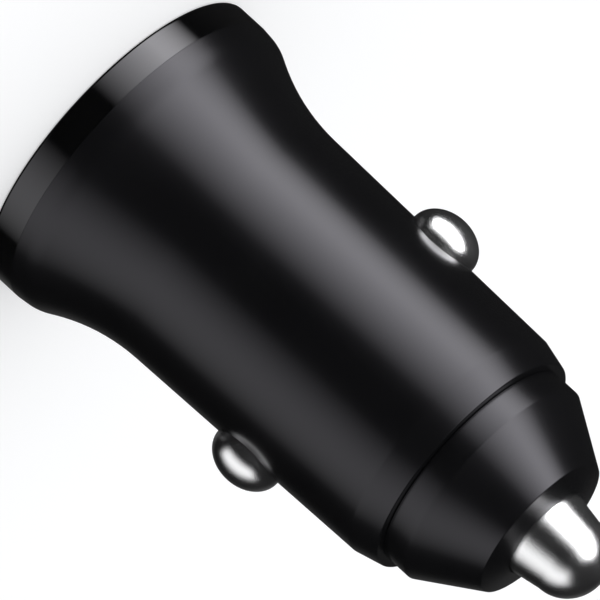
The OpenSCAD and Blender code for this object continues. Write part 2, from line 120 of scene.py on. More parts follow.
# %% Helpers for node trees
def add_node(tree, kind, **values):
    """Makes a node. A keyword that names a property sets it, and any other sets an input socket."""
    node = tree.nodes.new(kind)
    for key, value in values.items():
        if hasattr(node, key):
            setattr(node, key, value)
        else:
            node.inputs[key.replace("_", " ")].default_value = value
    return node


def join(tree, start, end):
    """Joins an output socket to an input socket."""
    tree.links.new(start, end)


# %% [markdown]
# ## The studio
#
# A black product on white needs two things at once: a white surround for the eye, and a dark one
# with a few soft panels for the gloss. A photographer stands black flags and softboxes just outside
# the picture and cuts the white in later. Here the world and the floor are white to the camera. A
# black sphere stands round the plug for the mirror rays alone, and five panels of light glow on its
# inside. The two main ones are tall, so their reflections run straight along the barrel: a strong
# one that starts beside the plug and fades towards the camera, and a weak one on the other side.
# The world lights matt surfaces softly, and more strongly on the strong panel's side.

# %% Which rays see the background
def seen_directly(tree):
    """A value that is 1 for the rays that show the background: camera, mirror and glass rays."""
    light_path = add_node(tree, "ShaderNodeLightPath")
    total = light_path.outputs["Is Camera Ray"]
    for ray in ("Is Glossy Ray", "Is Transmission Ray"):
        add = add_node(tree, "ShaderNodeMath", operation="ADD", use_clamp=True)
        join(tree, total, add.inputs[0])
        join(tree, light_path.outputs[ray], add.inputs[1])
        total = add.outputs[0]
    return total


# %% World: soft light that is stronger on the key's side, and white for the eye
SKY_AT_KEY, SKY_AT_FILL = 1.35, 0.35

world = bpy.data.worlds.new("studio_world")
scene.world = world
world.use_nodes = True
tree = world.node_tree
tree.nodes.clear()
white = add_node(tree, "ShaderNodeBackground", Color=(1, 1, 1, 1), Strength=1.0)
soft_light = add_node(tree, "ShaderNodeBackground", Color=(0.97, 0.98, 1, 1))
direction = add_node(tree, "ShaderNodeTexCoord")
across = add_node(tree, "ShaderNodeSeparateXYZ")
level = add_node(tree, "ShaderNodeMapRange")
for key, value in (("From Min", -1), ("From Max", 1),
                   ("To Min", SKY_AT_KEY), ("To Max", SKY_AT_FILL)):
    level.inputs[key].default_value = value
join(tree, direction.outputs["Generated"], across.inputs[0])
join(tree, across.outputs["X"], level.inputs["Value"])
join(tree, level.outputs[0], soft_light.inputs["Strength"])
choice = add_node(tree, "ShaderNodeMixShader")
join(tree, seen_directly(tree), choice.inputs[0])
join(tree, soft_light.outputs[0], choice.inputs[1])
join(tree, white.outputs[0], choice.inputs[2])
join(tree, choice.outputs[0], add_node(tree, "ShaderNodeOutputWorld").inputs[0])
print("world:", len(tree.nodes), "nodes")

# %% [markdown]
# A white card as a floor would come out grey, because the world lights it softly. So it also glows
# where it is seen directly, which lifts it to white and leaves a faint shadow. From below it is
# clear, so the port face can be looked at, and the gloss doesn't mirror it.

# %% Floor: pale, keeps the shadow, and can be looked through from below
FLOOR_R = 3.0
FLOOR_PALE = (0.8, 0.8, 0.8, 1)
FLOOR_GLOW = 0.36


def fresh_material(name):
    """An empty material: its tree and its output node."""
    made = bpy.data.materials.new(name)
    made.use_nodes = True
    made.node_tree.nodes.clear()
    return made, made.node_tree, add_node(made.node_tree, "ShaderNodeOutputMaterial")


def floor_material():
    """Pale, with a glow where it is seen directly, and clear on its back."""
    made, tree, output = fresh_material("pale_floor")
    pale = add_node(tree, "ShaderNodeBsdfDiffuse", Color=FLOOR_PALE)
    glow = add_node(tree, "ShaderNodeEmission", Color=(1, 1, 1, 1), Strength=FLOOR_GLOW)
    clear = add_node(tree, "ShaderNodeBsdfTransparent")
    lit = add_node(tree, "ShaderNodeAddShader")
    dark = add_node(tree, "ShaderNodeMixShader")
    sides = add_node(tree, "ShaderNodeMixShader")
    join(tree, pale.outputs[0], lit.inputs[0])
    join(tree, glow.outputs[0], lit.inputs[1])
    join(tree, seen_directly(tree), dark.inputs[0])
    join(tree, pale.outputs[0], dark.inputs[1])
    join(tree, lit.outputs[0], dark.inputs[2])
    join(tree, add_node(tree, "ShaderNodeNewGeometry").outputs["Backfacing"], sides.inputs[0])
    join(tree, dark.outputs[0], sides.inputs[1])
    join(tree, clear.outputs[0], sides.inputs[2])
    join(tree, sides.outputs[0], output.inputs[0])
    return made


def stage_piece(name, vertices, faces, material, **rays):
    """A mesh in metres that belongs to the studio. The keywords say which rays don't meet it."""
    mesh = bpy.data.meshes.new(name)
    mesh.from_pydata(vertices.tolist(), [], faces)
    mesh.materials.append(material)
    piece = bpy.data.objects.new(name, mesh)
    scene.collection.objects.link(piece)
    for ray, met in rays.items():
        setattr(piece, ray, met)
    return piece


angle = np.arange(64) * 2 * np.pi / 64
rim = np.stack([FLOOR_R * np.cos(angle), FLOOR_R * np.sin(angle), 0 * angle], 1)
floor = stage_piece("floor", rim, [list(range(len(rim)))], floor_material(), visible_glossy=False)
print("floor:", 2 * FLOOR_R, "m across")

# %% [markdown]
# One grid of points on a sphere holds the light of all panels, as a number at each point. Panels
# that overlap add up, and each edge is as sharp or as soft as its reflection in the photograph.

# %% How the light of a panel rises and falls
def soft(x):
    """Rises slowly, then fast, then slowly: x squared times (3 - 2x)."""
    x = np.clip(x, 0, 1)
    return x * x * (3 - 2 * x)


def domed(x):
    """Rises fast and levels off: a quarter of a sine wave."""
    return np.sin(np.clip(x, 0, 1) * np.pi / 2)


def even(x):
    """Rises in a straight line."""
    return np.clip(x, 0, 1)


print("halfway up, soft, domed and even reach",
      [round(float(rise(0.5)), 2) for rise in (soft, domed, even)])

# %% The panels
# All angles are in degrees. Each panel: its strength; the azimuth where it starts, peaks and ends;
# how it rises and falls; the elevation of its two ends and the width of their soft edges; how far
# it leans, in degrees of azimuth per degree of elevation
PANELS = [
    # the key, on the picture's upper right
    (5.08, (-91, -62, -14.5), (domed, even), (-33, 50), 18, 0),
    # the fill, on its lower left
    (1.1, (27.5, 65, 104), (domed, domed), (-33, 41), 18, 0.12),
    # a faint rim light behind the plug
    (0.07, (141, 168, 195), (soft, soft), (-60, 12), 20, 0),
    # a faint glow beyond the key, which keeps that side off pure black
    (0.016, (-190, -118, -88), (soft, soft), (-60, 60), 20, 0),
    # a low panel for the port face, all the way round: within half a turn it hardly falls
    (0.12, (-3600, 0, 3600), (even, even), (-90, -80), 10, 0),
]
# The elevation that the barrel mirrors to the camera. A leaning panel has its azimuths there
BARREL_MIRROR = -17.3
print(len(PANELS), "panels, strengths", [panel[0] for panel in PANELS])

# %% The glow at each point of the surround
# What it glows where there is no panel
DARK = 0.008

azimuth, elevation = np.meshgrid(np.arange(-180, 181, 2.0), np.arange(-90, 91, 3.0))
glow = np.full(azimuth.shape, DARK)
for strength, (start, peak, end), (rise, fall), (low, high), edge, lean in PANELS:
    leaning = peak + lean * (elevation - BARREL_MIRROR)
    turned = (azimuth - leaning + 180) % 360 - 180
    sideways = np.minimum(rise(1 + turned / (peak - start)), fall(1 - turned / (end - peak)))
    upright = soft(np.minimum(elevation - low + edge, high + edge - elevation) / edge)
    glow += strength * sideways * upright
print("glow:", glow.shape, "points, from", glow.min(), "to", glow.max().round(2))

# %% The black surround
SURROUND_R = 0.6
MIRROR_ONLY = {"visible_camera": False, "visible_diffuse": False, "visible_shadow": False,
               "visible_transmission": False, "visible_volume_scatter": False}


def from_angles(azimuth, elevation, radius):
    """Points of a sphere: azimuth 0 is towards the camera (-Y) and positive azimuths are at +X."""
    flat = radius * np.cos(elevation)
    return np.stack([flat * np.sin(azimuth), -flat * np.cos(azimuth),
                     radius * np.sin(elevation)], -1)


def grid_faces(rows, columns):
    """The quads of a grid that is stored row by row."""
    i, j = np.meshgrid(np.arange(rows - 1), np.arange(columns - 1), indexing="ij")
    k = (i * columns + j).ravel()
    return np.stack([k, k + 1, k + columns + 1, k + columns], 1).tolist()


made, tree, output = fresh_material("surround_light")
level = add_node(tree, "ShaderNodeAttribute", attribute_name="glow")
light = add_node(tree, "ShaderNodeEmission", Color=(1, 1, 1, 1))
join(tree, level.outputs["Fac"], light.inputs["Strength"])
join(tree, light.outputs[0], output.inputs[0])
points = from_angles(np.radians(azimuth), np.radians(elevation), SURROUND_R).reshape(-1, 3)
surround = stage_piece("surround", points, grid_faces(*azimuth.shape), made, **MIRROR_ONLY)
surround.data.attributes.new("glow", "FLOAT", "POINT").data.foreach_set("value", glow.ravel())
print("surround:", 2 * SURROUND_R, "m across,", len(surround.data.polygons), "faces")

# %% [markdown]
# ## Finishes
#
# Each finish is a Principled shader in a material of its own. What the finishes share is built once
# as node groups: a fine grain that roughens a moulding or a plated surface, and lines that follow a
# direction, as drawing and rolling leave them. The groups put out only a mask, a roughness and a
# normal.

# %% Opening a group, and the outputs that both groups share
BUMP_HEIGHT = 0.00002


def new_group(name, own_inputs, roughness, spread, depth):
    """A shader node group with named sockets: its tree, its input node and its output node."""
    group = bpy.data.node_groups.new(name, "ShaderNodeTree")
    inputs = [("Vector", "NodeSocketVector", None), *own_inputs,
              ("Roughness", "NodeSocketFloat", roughness), ("Spread", "NodeSocketFloat", spread),
              ("Depth", "NodeSocketFloat", depth)]
    for label, kind, value in inputs:
        socket = group.interface.new_socket(label, in_out="INPUT", socket_type=kind)
        if value is not None:
            socket.default_value = value
    for label, kind in (("Mask", "NodeSocketFloat"), ("Roughness", "NodeSocketFloat"),
                        ("Normal", "NodeSocketVector")):
        group.interface.new_socket(label, in_out="OUTPUT", socket_type=kind)
    return group, group.nodes.new("NodeGroupInput"), group.nodes.new("NodeGroupOutput")


def fill_outputs(group, start, end, broad, fine):
    """Mask, roughness and normal from two noises. The broad one is the mask, and the roughness is
    Roughness + Spread x (broad - 0.5). The fine one is the height of a bump."""
    centred = add_node(group, "ShaderNodeMath", operation="SUBTRACT")
    centred.inputs[1].default_value = 0.5
    wide = add_node(group, "ShaderNodeMath", operation="MULTIPLY_ADD")
    bump = add_node(group, "ShaderNodeBump", Distance=BUMP_HEIGHT)
    join(group, broad, centred.inputs[0])
    join(group, centred.outputs[0], wide.inputs[0])
    join(group, start.outputs["Spread"], wide.inputs[1])
    join(group, start.outputs["Roughness"], wide.inputs[2])
    join(group, fine, bump.inputs["Height"])
    join(group, start.outputs["Depth"], bump.inputs["Strength"])
    join(group, broad, end.inputs["Mask"])
    join(group, wide.outputs[0], end.inputs["Roughness"])
    join(group, bump.outputs[0], end.inputs["Normal"])


# %% Fine grain: two sizes of noise
def build_grain():
    group, start, end = new_group(
        "fine_grain", [("Grain Scale", "NodeSocketFloat", 9000.0),
                       ("Drift Scale", "NodeSocketFloat", 250.0)], 0.3, 0.05, 0.02)
    fine = add_node(group, "ShaderNodeTexNoise", Detail=2.0)
    broad = add_node(group, "ShaderNodeTexNoise", Detail=3.0)
    for noise, scale in ((fine, "Grain Scale"), (broad, "Drift Scale")):
        join(group, start.outputs["Vector"], noise.inputs["Vector"])
        join(group, start.outputs[scale], noise.inputs["Scale"])
    fill_outputs(group, start, end, broad.outputs[0], fine.outputs[0])
    return group


GRAIN = build_grain()
print("group:", GRAIN.name, "with", len(GRAIN.nodes), "nodes")

# %% Drawn lines: noise on coordinates that are stretched before it is read
def build_lines():
    group, start, end = new_group(
        "drawn_lines", [("Stretch", "NodeSocketVector", (1.0, 1.0, 0.03)),
                        ("Scale", "NodeSocketFloat", 9000.0)], 0.25, 0.15, 0.1)
    stretch = add_node(group, "ShaderNodeVectorMath", operation="MULTIPLY")
    noise = add_node(group, "ShaderNodeTexNoise", Detail=3.0)
    join(group, start.outputs["Vector"], stretch.inputs[0])
    join(group, start.outputs["Stretch"], stretch.inputs[1])
    join(group, stretch.outputs[0], noise.inputs["Vector"])
    join(group, start.outputs["Scale"], noise.inputs["Scale"])
    fill_outputs(group, start, end, noise.outputs[0], noise.outputs[0])
    return group


LINES = build_lines()
print("group:", LINES.name, "with", len(LINES.nodes), "nodes")

# %% A finish from a group, two colours and the shader's own settings
def finish(name, group, low, high, settings, coordinates="Object", **shader):
    """A material: the group's mask mixes two close colours, and its roughness and normal feed the
    Principled shader. The keywords are set on the shader's own sockets."""
    made, tree, output = fresh_material(name)
    where = add_node(tree, "ShaderNodeTexCoord")
    effect = tree.nodes.new("ShaderNodeGroup")
    effect.node_tree = group
    for key, value in settings.items():
        effect.inputs[key].default_value = value
    mix = add_node(tree, "ShaderNodeMix", data_type="RGBA")
    mix.inputs["A"].default_value, mix.inputs["B"].default_value = (*low, 1), (*high, 1)
    surface = add_node(tree, "ShaderNodeBsdfPrincipled")
    for key, value in shader.items():
        surface.inputs[key.replace("_", " ")].default_value = value
    join(tree, where.outputs[coordinates], effect.inputs["Vector"])
    join(tree, effect.outputs["Mask"], mix.inputs["Factor"])
    join(tree, mix.outputs["Result"], surface.inputs["Base Color"])
    join(tree, effect.outputs["Roughness"], surface.inputs["Roughness"])
    join(tree, effect.outputs["Normal"], surface.inputs["Normal"])
    join(tree, surface.outputs[0], output.inputs[0])
    return made


# %% [markdown]
# The black mouldings are almost pure black under their gloss, and the gloss has a trace of violet.
# The housing and the nose are satin, so the panels spread into soft bands, while a thin clear skin
# on top still mirrors the chrome that stands next to it. The ring is polished, so the same panels
# keep their edges on it.

# %% Black plastics
VIOLET = (0.93, 0.905, 1, 1)

BLACKS = {
    "polished_black": finish(
        "polished_black", GRAIN, (0.002, 0.002, 0.0021), (0.003, 0.003, 0.0031),
        {"Roughness": 0.09, "Spread": 0.04, "Depth": 0.01},
        Specular_Tint=VIOLET, Specular_IOR_Level=0.43, Coat_Weight=0.58, Coat_Roughness=0.03),
    "satin_black": finish(
        "satin_black", GRAIN, (0.0038, 0.0038, 0.0042), (0.0052, 0.0052, 0.0056),
        {"Roughness": 0.24, "Spread": 0.04, "Depth": 0.03},
        Specular_Tint=VIOLET, Specular_IOR_Level=0.43, Coat_Weight=0.12, Coat_Roughness=0.06),
    "plate_black": finish(
        "plate_black", GRAIN, (0.012, 0.012, 0.013), (0.02, 0.02, 0.022),
        {"Roughness": 0.5, "Spread": 0.1, "Depth": 0.25, "Grain Scale": 7000.0}),
    "tongue_plastic": finish(
        "tongue_plastic", GRAIN, (0.018, 0.018, 0.02), (0.03, 0.03, 0.032),
        {"Roughness": 0.45, "Spread": 0.1, "Depth": 0.15}),
    "carrier_plastic": finish(
        "carrier_plastic", GRAIN, (0.05, 0.05, 0.052), (0.08, 0.08, 0.085),
        {"Roughness": 0.5, "Spread": 0.1, "Depth": 0.2}),
}

# %% [markdown]
# The three contacts are plated with bright chrome, whose fine grain widens the highlights a
# little. The other metals are drawn or rolled, and fine lines show it: along the wire on a spring,
# along the sheet on shells, strips and lugs, and round the cans.

# %% Metals
METALS = {
    "contact_chrome": finish(
        "contact_chrome", GRAIN, (0.86, 0.86, 0.87), (0.92, 0.92, 0.93),
        {"Roughness": 0.2, "Spread": 0.08, "Depth": 0.7, "Grain Scale": 11000.0,
         "Drift Scale": 900.0}, Metallic=1.0),
    "spring_steel": finish(
        "spring_steel", LINES, (0.42, 0.42, 0.43), (0.62, 0.62, 0.63),
        {"Stretch": (0.06, 1.0, 1.0), "Scale": 40.0, "Roughness": 0.28, "Spread": 0.2,
         "Depth": 0.3}, "UV", Metallic=1.0),
    "lug_brass": finish(
        "lug_brass", LINES, (0.62, 0.44, 0.17), (0.8, 0.6, 0.28),
        {"Stretch": (0.05, 1.0, 1.0), "Roughness": 0.28, "Depth": 0.15}, Metallic=1.0),
    "port_steel": finish(
        "port_steel", LINES, (0.55, 0.55, 0.56), (0.72, 0.72, 0.73),
        {"Stretch": (1.0, 1.0, 0.03), "Roughness": 0.24, "Spread": 0.12, "Depth": 0.1},
        Metallic=1.0),
    "strip_gold": finish(
        "strip_gold", LINES, (0.82, 0.55, 0.2), (0.93, 0.68, 0.3),
        {"Stretch": (1.0, 1.0, 0.05), "Roughness": 0.2, "Depth": 0.08}, Metallic=1.0),
    "can_aluminium": finish(
        "can_aluminium", LINES, (0.62, 0.63, 0.64), (0.8, 0.8, 0.81),
        {"Stretch": (0.08, 0.08, 1.0), "Roughness": 0.3, "Depth": 0.15}, Metallic=1.0),
}
print("finishes so far:", len(BLACKS) + len(METALS))

# %% [markdown]
# ## The surface maker
#
# Almost everything on this plug is a profile that is carried along a closed path: round pieces
# carry it along a circle, and a port's shell carries it along a rounded rectangle. So one function
# rounds a profile's corners and another carries it. The normals come from the profile too, which
# keeps long flat faces flat beside a small rounding.

# %% A profile with rounded corners
def outline(corners, closed=True, steps=6):
    """Points of a profile whose corners are rounded.

    Each corner is (distance from the axis, height, rounding). An arc leaves the side that comes in
    at rounding x tan(turn / 2) before the corner, and its direction turns evenly to the side that
    goes out. An open profile keeps its two ends as they are.
    """
    data = np.array(corners, float)
    at, rounding = data[:, :2], data[:, 2]
    into = at - np.roll(at, 1, 0)
    into /= np.linalg.norm(into, axis=1)[:, None]
    out = np.roll(into, -1, 0)
    turn = np.arctan2(into[:, 0] * out[:, 1] - into[:, 1] * out[:, 0], (into * out).sum(1))
    share = np.linspace(0, 1, steps + 1)
    angle = np.arctan2(into[:, 1], into[:, 0])[:, None] + turn[:, None] * share
    normal = np.stack([np.sin(angle), -np.cos(angle)], 2) * np.sign(turn)[:, None, None]
    start = at - into * (rounding * np.tan(abs(turn) / 2))[:, None]
    centre = start - rounding[:, None] * normal[:, 0]
    arcs = centre[:, None] + rounding[:, None, None] * normal
    if closed:
        return arcs.reshape(-1, 2)
    return np.concatenate([at[:1], arcs[1:-1].reshape(-1, 2), at[-1:]])


square = outline([(1, 0, 0.2), (2, 0, 0.2), (2, 1, 0.2), (1, 1, 0.2)])
print("a square with rounded corners:", len(square), "points")

# %% Carrying a profile along a path
def profile_normals(points, closed):
    """Outward normals of a profile that runs with its material on the left: at each point the
    line between its two neighbours, turned to the right."""
    padded = np.concatenate([points[-1:], points, points[:1]]) if closed else np.concatenate(
        [points[:1], points, points[-1:]])
    along = padded[2:] - padded[:-2]
    along /= np.linalg.norm(along, axis=1)[:, None]
    normals = np.stack([along[:, 1], -along[:, 0]], 1)
    if not closed:
        normals[0] = [0, np.sign(normals[0, 1])]
        normals[-1] = [0, np.sign(normals[-1, 1])]
    return normals


def circle(count):
    """The path of a turned piece: all its points on the axis, and its normals all round."""
    angle = np.arange(count) * 2 * np.pi / count
    return np.zeros((count, 2)), np.stack([np.cos(angle), np.sin(angle)], 1)


def carry(points, path, closed=True):
    """Carries a profile (offset, height) along a path: vertices, normals and faces.

    Vertex (i, j) is the path's point j, moved along the path's normal by the profile's offset i,
    at the profile's height i. An open profile starts and ends on the axis, in one pole vertex.
    """
    base, across = path
    normals = profile_normals(points, closed)
    ring = points if closed else points[1:-1]
    turned = normals if closed else normals[1:-1]
    rows, columns = len(ring), len(base)
    flat = base[None] + ring[:, :1, None] * across[None]
    vertices = np.dstack([flat, np.broadcast_to(ring[:, 1:], (rows, columns))[..., None]])
    directions = np.dstack([turned[:, :1, None] * across[None],
                            np.broadcast_to(turned[:, 1:], (rows, columns))[..., None]])
    i, j = np.meshgrid(np.arange(rows if closed else rows - 1), np.arange(columns), indexing="ij")
    up, on = (i + 1) % rows, (j + 1) % columns
    quads = np.stack([i * columns + j, i * columns + on, up * columns + on, up * columns + j], -1)
    faces = quads.reshape(-1, 4).tolist()
    vertices, directions = vertices.reshape(-1, 3), directions.reshape(-1, 3)
    if not closed:
        count, j = len(vertices), np.arange(columns)
        on = (j + 1) % columns
        last = (rows - 1) * columns
        faces += np.stack([np.full(columns, count), on, j], 1).tolist()
        faces += np.stack([np.full(columns, count + 1), last + j, last + on], 1).tolist()
        poles = [[0, 0, points[0, 1]], [0, 0, points[-1, 1]]]
        vertices = np.concatenate([vertices, poles])
        directions = np.concatenate([directions, [[0, 0, normals[0, 1]], [0, 0, normals[-1, 1]]]])
    return vertices, directions, faces


vertices, _, faces = carry(square, circle(24))
print("the square as a ring:", len(vertices), "vertices,", len(faces), "faces")

# %% [markdown]
# A surface becomes a mesh object here. It rides on the body that it moves with, it is told
# which kind of material it has, and it takes the place of its CAD node.

# %% From a surface to a piece of the plug
def make_piece(name, surface, material, body, replaces=()):
    """Puts a surface in millimetres into a mesh object that rides on a body of the plug."""
    vertices, normals, faces = surface
    mesh = bpy.data.meshes.new(name)
    mesh.from_pydata((vertices * MM).tolist(), [], faces)
    mesh.polygons.foreach_set("use_smooth", np.ones(len(mesh.polygons), bool))
    if normals is not None:
        mesh.normals_split_custom_set_from_vertices(normals.tolist())
    mesh.materials.append(material)
    piece = bpy.data.objects.new(name, mesh)
    scene.collection.objects.link(piece)
    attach(piece, body)
    if replaces:
        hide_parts(*replaces)
    size = vertices.max(0) - vertices.min(0)
    print(f"{name}: {len(vertices)} vertices, {len(faces)} faces,", size.round(2), "mm")
    return piece


# %% [markdown]
# ## The front ring
#
# A polished trim ring: its outer wall is straight, its rim slopes inwards to the port plate,
# and behind it a thinner sleeve plugs into the housing. A modeller could spin it in Blender; here
# its outline is written down once, in millimetres, and carried along a circle.

# %% Front ring
HEAD_R = 12.9
RING_H = 2.4
BORE_R = 9.683
PLATE_Z = 0.6
SLEEVE_R = (8.983, 10.383)
SLEEVE_Z = 4.0
# Points round a turned piece
ROUND = 192

ring_outline = outline([
    (BORE_R + PLATE_Z, 0, 0.1), (HEAD_R, 0, 0.3), (HEAD_R, RING_H, 0.02),
    (SLEEVE_R[1], RING_H, 0.05), (SLEEVE_R[1], SLEEVE_Z, 0.15), (SLEEVE_R[0], SLEEVE_Z, 0.1),
    (SLEEVE_R[0], RING_H, 0.05), (BORE_R, RING_H, 0.05), (BORE_R, PLATE_Z, 0.1)])
make_piece("trim_ring", carry(ring_outline, circle(ROUND)), BLACKS["polished_black"], "body",
           ["front_ring"])

# %% [markdown]
# ## The housing
#
# One hollow moulding: a short shoulder above the ring, a flare with a large soft round at its
# root, the tapering barrel, an end chamfer and the lip. The flare follows the silhouette in the
# photograph and is up to 0.28 mm fuller than the solid's. Two round holes in the sides let the
# domes through. A Boolean could cut them, but it leaves thin triangles that shade badly on gloss.
# So the grid leaves a square window at each hole, and a patch fills it whose rings go evenly from
# the square to the circle.

# %% Housing outline, with extra lines across the windows
CONTACT_Z = 23.05
HOLE_R = 2.86
WINDOW_H = 4.3
WINDOW_COLUMNS = 13
LINES_UP = 27
WALL = 1.2
# Corners of the outline, as distance from the axis and height
SHOULDER, FLARE_ROOT = (12.734, 3.892), (10.517, 8.169)
BARREL_END, LIP = (9.97, 33.45), (9.42, LIP_Z)
SPIGOT_BORE, CAVITY_TOP = 8.1, 31.1
# Heights on the inside: where the flare ends, and how deep the mouth for the sleeve is
FLARE_IN_Z, MOUTH_TOP = 9.2, 6.4
SLEEVE_GAP = 0.05


def barrel_r(height):
    """Radius of the barrel's outside, which tapers evenly from the flare to the end chamfer."""
    share = (height - FLARE_ROOT[1]) / (BARREL_END[1] - FLARE_ROOT[1])
    return FLARE_ROOT[0] + (BARREL_END[0] - FLARE_ROOT[0]) * share


def with_lines(points, heights):
    """Adds points to the two legs that pass the side contacts, at the given heights. It also
    returns the rows of those points, from low to high: first the outer leg's, then the inner's."""
    rows = []
    for _ in range(2):
        later = np.roll(points, -1, 0)
        crossing = (points[:, 1] - CONTACT_Z) * (later[:, 1] - CONTACT_Z) < 0
        long_leg = abs(points[:, 1] - later[:, 1]) > 2 * WINDOW_H
        k = np.flatnonzero(crossing & long_leg)[0]
        start, end = points[k], points[(k + 1) % len(points)]
        order = heights if end[1] > start[1] else heights[::-1]
        share = ((order - start[1]) / (end[1] - start[1]))[:, None]
        points = np.insert(points, k + 1, start + (end - start) * share, 0)
        found = np.arange(k + 1, k + 1 + len(heights))
        rows.append(found if end[1] > start[1] else found[::-1])
    return points, rows


mouth_r = SLEEVE_R[1] + SLEEVE_GAP
housing_outline = outline([
    (mouth_r, RING_H, 0.1), (HEAD_R, RING_H, 0.02), (*SHOULDER, 3.5), (*FLARE_ROOT, 16.5),
    (*BARREL_END, 0.4), (*LIP, 0.12), (SPIGOT_BORE, LIP_Z, 0.08), (SPIGOT_BORE, CAVITY_TOP, 0.1),
    (barrel_r(CAVITY_TOP) - WALL, CAVITY_TOP, 0.2), (FLARE_ROOT[0] - WALL, FLARE_IN_Z, 8.0),
    (mouth_r, MOUTH_TOP, 1.0)], steps=10)
lines_at = CONTACT_Z + np.linspace(-WINDOW_H, WINDOW_H, LINES_UP)
housing_outline, window_rows = with_lines(housing_outline, lines_at)
print("outline:", len(housing_outline), "points; window rows", [len(r) for r in window_rows])

# %% Windows in the grid, and rings that fill them
def window_edge(rows, side):
    """The grid's vertices round one window, anticlockwise from outside: their numbers, and their
    angle from the window's middle and height."""
    m, n = WINDOW_COLUMNS, LINES_UP - 1
    column = np.concatenate([np.arange(-m, m), np.full(n, m), np.arange(m, -m, -1), np.full(n, -m)])
    line = np.concatenate([np.zeros(2 * m, int), np.arange(n), np.full(2 * m, n),
                           np.arange(n, 0, -1)])
    offset = 0 if side > 0 else ROUND // 2
    return (rows[line] * ROUND + (column + offset) % ROUND, column * 2 * np.pi / ROUND,
            lines_at[line])


def patch_rings(radius_at, theta, height, hole_r, steps=7):
    """Rings that go from the hole's circle to the window's edge, as angle and height. On the
    circle, a point's direction from the hole's middle is that of the edge's point."""
    turn = np.arctan2(height - CONTACT_Z, radius_at(height) * np.sin(theta))
    ring_z = CONTACT_Z + hole_r * np.sin(turn)
    ring_theta = np.arcsin(hole_r * np.cos(turn) / radius_at(ring_z))
    share = (np.linspace(0, 1, steps + 1)[:-1] ** 1.3)[:, None]
    return (ring_theta + (theta - ring_theta) * share, ring_z + (height - ring_z) * share, turn)


def on_barrel(radius, theta, height, side):
    """Points at a radius, at an angle from the X axis and at a height, on one side."""
    return np.stack([side * radius * np.cos(theta), side * radius * np.sin(theta), height], -1)


_, theta, height = window_edge(window_rows[0], 1)
print("a window's edge has", len(theta), "points, up to", np.degrees(theta.max()).round(1),
      "degrees and", round(height.max() - CONTACT_Z, 2), "mm from its middle")

# %% [markdown]
# The wall of a hole starts in a small round: its radius shrinks from hole + edge to hole while it
# sinks by edge, a quarter of a circle, and then it runs straight to the inner patch.

# %% Patches and walls of the holes
HOLE_EDGE = 0.12
BARREL_LEAN = (FLARE_ROOT[0] - BARREL_END[0]) / (BARREL_END[1] - FLARE_ROOT[1])


def strip(first, second):
    """Quads between two closed rings of vertex numbers."""
    return np.stack([first, second, np.roll(second, -1), np.roll(first, -1)], 1).tolist()


def fill_window(rows, side, thin, hole_r, facing, count):
    """The patch in one window: points, normals, faces, its ring at the hole, and the ring's
    directions. Its vertex numbers start at count."""
    numbers, theta, height = window_edge(rows, side)
    radius_at = lambda z: barrel_r(z) - thin
    angle, z, turn = patch_rings(radius_at, theta, height, hole_r)
    points = on_barrel(radius_at(z), angle, z, side).reshape(-1, 3)
    outward = on_barrel(np.ones_like(angle), angle, np.full_like(angle, BARREL_LEAN), side)
    rings = count + np.arange(angle.size).reshape(angle.shape)
    every = [*rings, numbers]
    pairs = zip(every[:-1], every[1:]) if facing > 0 else zip(every[1:], every[:-1])
    faces = sum((strip(first, second) for first, second in pairs), [])
    return points, facing * outward.reshape(-1, 3), faces, rings[0], turn


def hole_wall(turn, side, outer_ring, inner_ring, count):
    """The wall of one hole, from the outer patch's ring to the inner one's."""
    bend = np.linspace(0, np.pi / 2, 6)[1:, None]
    hole = HOLE_R + HOLE_EDGE * (1 - np.sin(bend))
    y, z = hole * np.cos(turn), CONTACT_Z + hole * np.sin(turn)
    x = np.sqrt(barrel_r(z) ** 2 - y ** 2) - HOLE_EDGE * (1 - np.cos(bend))
    points = np.stack([side * x, side * y, z], -1).reshape(-1, 3)
    inward = np.stack([side * np.cos(bend) * np.ones_like(turn),
                       -side * np.sin(bend) * np.cos(turn), -np.sin(bend) * np.sin(turn)], -1)
    every = [outer_ring, *(count + np.arange(y.size).reshape(y.shape)), inner_ring]
    faces = sum((strip(second, first) for first, second in zip(every[:-1], every[1:])), [])
    return points, inward.reshape(-1, 3), faces


print("the barrel leans by", np.degrees(np.arctan(BARREL_LEAN)).round(2), "degrees")

# %% The housing with its two holes
def cut_holes(surface, outer_rows, inner_rows):
    """Removes the grid's faces in both windows and joins in the patches and the holes' walls."""
    vertices, normals, faces = surface
    quads = np.array(faces)
    row, column = quads[:, 0] // ROUND, quads[:, 0] % ROUND
    in_window = np.any([(row >= rows.min()) & (row < rows.max())
                        for rows in (outer_rows, inner_rows)], 0)
    in_window &= ((column + WINDOW_COLUMNS) % (ROUND // 2)) < 2 * WINDOW_COLUMNS
    parts, count = [(vertices, normals, quads[~in_window].tolist())], len(vertices)
    for side in (1, -1):
        *outer, outer_ring, _ = fill_window(outer_rows, side, 0.0, HOLE_R + HOLE_EDGE, 1, count)
        count += len(outer[0])
        *inner, inner_ring, turn = fill_window(inner_rows, side, WALL, HOLE_R, -1, count)
        count += len(inner[0])
        wall = hole_wall(turn, side, outer_ring, inner_ring, count)
        count += len(wall[0])
        parts += [outer, inner, wall]
    vertices, normals, faces = zip(*parts)
    normals = np.concatenate(normals)
    normals /= np.linalg.norm(normals, axis=1)[:, None]
    return np.concatenate(vertices), normals, sum(faces, [])


plain_housing = carry(housing_outline, circle(ROUND))
make_piece("housing_shell", cut_holes(plain_housing, *window_rows), BLACKS["satin_black"], "body",
           ["housing"])

# %% [markdown]
# ## The nose
#
# A black cap: its spigot sits in the housing, a short collar steps in from the lip, and a cone
# runs to the slightly crowned end. Inside, a tube guides the centre contact. It is one turned
# outline again.

